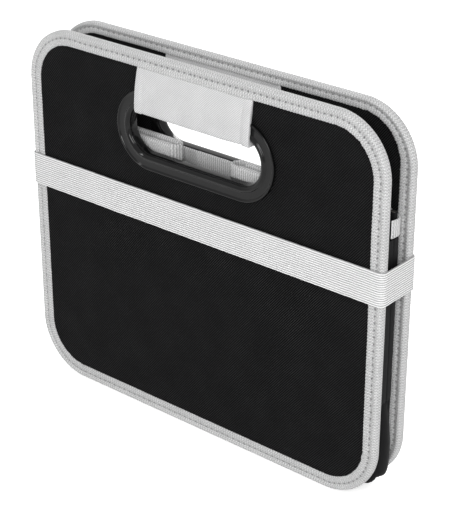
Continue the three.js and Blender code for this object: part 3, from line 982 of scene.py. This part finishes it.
def gussets():
    """Slack cloth that closes each side gap past the walls' outer ends, half of it on either panel."""
    plans = {
        REAR: [
            (150.4, 10.2), (151.9, 8.7), (153.5, 6.9), (155.1, 5.0), (155.9, 2.9), (156.0, 0.4),
            (155.9, -1.8),
        ],
        FRONT: [
            (152.4, -10.6), (154.4, -9.8), (155.6, -8.6), (155.9, -7.0), (155.9, -5.2), (155.9, -3.4),
            (155.9, -1.9),
        ],
    }
    (low, high), steps = GUSSET_Z, 40
    for hand in (LEFT, RIGHT):
        for side, plan in plans.items():
            rows, us = [], []
            for k in range(steps + 1):
                z = low + (high - low) * k / steps
                thick = 0.25 if 0 < k < steps else 0.08
                waved = [(x + 0.22 * ripple(z / 16, y / 9, 3.0 * hand), y) for x, y in plan]
                outer = [(hand * (x + thick), y, z) for x, y in waved]
                inner = [(hand * (x - thick), y, z) for x, y in waved]
                rows.append(outer + inner[::-1])
                us.append(z - low)
            vs = lengths(plan + plan[::-1] + plan[:1])
            name = f"{HAND_NAME[hand]}_{SIDE_NAME[side]}_gusset"
            mesh = grid_mesh(name, rows, us, vs, round_v=True)
            finish_piece(name, mesh, NYLON, "wall_cloth", SIDE_NAME[side], [])


def soft_corners():
    """The soft bulge of cloth at the foot of each side gap."""
    (low, high), steps, around = BULGE_Z, 26, 16
    for hand in (LEFT, RIGHT):
        rows, us = [], []
        for k in range(steps + 1):
            t = k / steps
            z = low + (high - low) * t
            swell = math.sin(math.pi * t ** 0.6) ** 0.6 if 0 < k < steps else 0.0
            row = []
            for j in range(around + 1):
                angle = -math.pi / 2 + math.pi * j / around
                wrinkle = 0.25 * ripple(j / 3, z / 8, hand * 4.0)
                x = PIVOT_X - 0.5 + (5.4 + wrinkle) * math.cos(angle) * swell
                y = FOLD_Y + (6.6 + wrinkle) * math.sin(angle) * (0.3 + 0.7 * swell)
                row.append((hand * x, y, z))
            rows.append(row)
            us.append(z)
        name = f"{HAND_NAME[hand]}_corner_bulge"
        mesh = grid_mesh(name, rows, us, [j * 1.1 for j in range(around + 1)])
        finish_piece(name, mesh, NYLON, "wall_cloth", "rear", [f"{HAND_NAME[hand]}_soft_corner"])


# Studio

def emptied(owner):
    """The nodes and links of the owner's tree, with nothing in it."""
    owner.use_nodes = True
    nodes, links = owner.node_tree.nodes, owner.node_tree.links
    nodes.clear()
    return nodes, links


def seen_rays(nodes, links):
    """1 for camera, glossy and transmission rays."""
    path = nodes.new("ShaderNodeLightPath")
    share = path.outputs["Is Camera Ray"]
    for kind in ("Is Glossy Ray", "Is Transmission Ray"):
        either = nodes.new("ShaderNodeMath")
        either.operation = "MAXIMUM"
        links.new(share, either.inputs[0])
        links.new(path.outputs[kind], either.inputs[1])
        share = either.outputs[0]
    return share


def backdrop():
    """White round the object for the camera and reflections, and plain light for the rest."""
    world = bpy.data.worlds.new("studio")
    scene.world = world
    nodes, links = emptied(world)
    out = nodes.new("ShaderNodeOutputWorld")
    lit = nodes.new("ShaderNodeBackground")
    lit.inputs["Strength"].default_value = WORLD_LIGHT
    seen = nodes.new("ShaderNodeBackground")
    seen.inputs["Color"].default_value = (1, 1, 1, 1)
    seen.inputs["Strength"].default_value = 1.0
    mix = nodes.new("ShaderNodeMixShader")
    links.new(seen_rays(nodes, links), mix.inputs[0])
    links.new(lit.outputs[0], mix.inputs[1])
    links.new(seen.outputs[0], mix.inputs[2])
    links.new(mix.outputs[0], out.inputs["Surface"])


def floor():
    """A pale floor that looks white but keeps the object's shadow."""
    mesh = bpy.data.meshes.new("floor")
    reach, low = 6.0, -0.0005
    corners = [(-reach, -reach, low), (reach, -reach, low), (reach, reach, low), (-reach, reach, low)]
    mesh.from_pydata(corners, [], [(0, 1, 2, 3)])
    piece = put("floor", mesh)
    material = bpy.data.materials.new("floor_paper")
    nodes, links = emptied(material)
    out = nodes.new("ShaderNodeOutputMaterial")
    matte = nodes.new("ShaderNodeBsdfDiffuse")
    matte.inputs["Color"].default_value = (0.86, 0.86, 0.86, 1)
    glow = nodes.new("ShaderNodeEmission")
    glow.inputs["Color"].default_value = (1, 1, 1, 1)
    scale = nodes.new("ShaderNodeMath")
    scale.operation = "MULTIPLY"
    scale.inputs[1].default_value = FLOOR_GLOW
    links.new(seen_rays(nodes, links), scale.inputs[0])
    links.new(scale.outputs[0], glow.inputs["Strength"])
    total = nodes.new("ShaderNodeAddShader")
    links.new(matte.outputs[0], total.inputs[0])
    links.new(glow.outputs[0], total.inputs[1])
    links.new(total.outputs[0], out.inputs["Surface"])
    mesh.materials.append(material)


def area_light(name, place, size, power):
    """A rectangular lamp turned to the lamps' target."""
    data = bpy.data.lights.new(name, "AREA")
    data.shape = "RECTANGLE"
    data.size, data.size_y = size
    data.energy = power
    lamp = put(name, data)
    lamp.location = place
    lamp.rotation_mode = "QUATERNION"
    lamp.rotation_quaternion = (LAMP_TARGET - Vector(place)).to_track_quat("-Z", "Y")


def lights():
    area_light("key", (1.1, -1.4, 1.0), (0.5, 1.1), 17)
    area_light("fill", (-0.8, -1.7, 1.3), (0.2, 1.2), 8)
    area_light("side", (1.4, -0.4, 1.4), (0.3, 0.9), 8)
    area_light("back", (-0.8, 1.7, 1.1), (0.8, 1.1), 21)


make_camera()
paint_frame()
for side in (FRONT, REAR):
    panel_cloth(side)
    panel_binding(side)
    handle_parts(side)
    grip_wrap(side)
elastic_band()
floor_halves()
rear_pocket()
side_walls()
end_tabs()
fold_loops()
webs()
gussets()
soft_corners()
backdrop()
floor()
lights()
